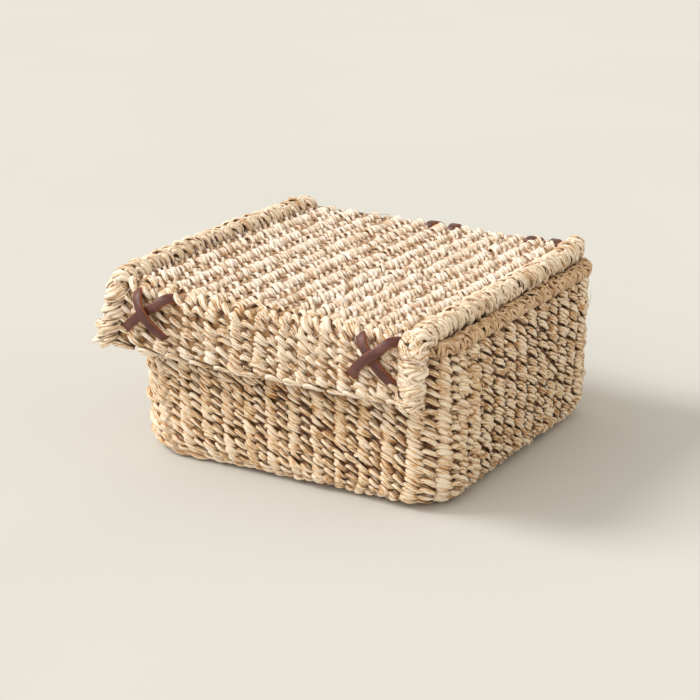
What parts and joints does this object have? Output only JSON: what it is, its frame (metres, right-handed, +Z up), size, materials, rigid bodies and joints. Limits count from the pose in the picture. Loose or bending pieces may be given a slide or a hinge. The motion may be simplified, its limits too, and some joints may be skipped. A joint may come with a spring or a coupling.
{
  "type": "woven napkin holder",
  "caption": "Low square basket box of natural twined fibre with rounded corners, a hinged mat lid whose front flap hangs over the front wall, and crossed leather laces.",
  "frame": {"origin": "middle of the flat underside, on the table", "axes": "+X to the viewer's right along the front, -Y the front with the lid's flap, +Z up"},
  "size_m": [0.2186, 0.2272, 0.1117],
  "materials": {
    "twined_fibre": "natural undyed plant-fibre twine, twined in slanted stitches, dry and matt with pale strands and dark gaps",
    "border_fibre": "the same natural twine wound over the edges as a rolled border of close overcast wraps",
    "lace_leather": "flat reddish-brown leather lace with a soft sheen and raw orange-brown cut edges"
  },
  "bodies": {
    "basket": {"base_mat": "twined_fibre", "wall_band": "twined_fibre", "rim_border": "border_fibre", "rear_left_hinge_lace": "lace_leather", "rear_middle_hinge_lace": "lace_leather", "rear_right_hinge_lace": "lace_leather"},
    "lid": {"lid_mat": "twined_fibre", "lid_left_border": "border_fibre", "lid_right_border": "border_fibre", "flap_hem": "border_fibre", "front_left_lace": "lace_leather", "front_right_lace": "lace_leather"}
  },
  "joints": [
    {"name": "lid_hinge", "type": "hinge", "parent": "basket", "child": "lid", "pos_m": [0, 0.1003, 0.0962], "axis": [-1, 0, 0], "range_deg": [0, 110], "deforming": ["rear_left_hinge_lace", "rear_middle_hinge_lace", "rear_right_hinge_lace"]}
  ]
}
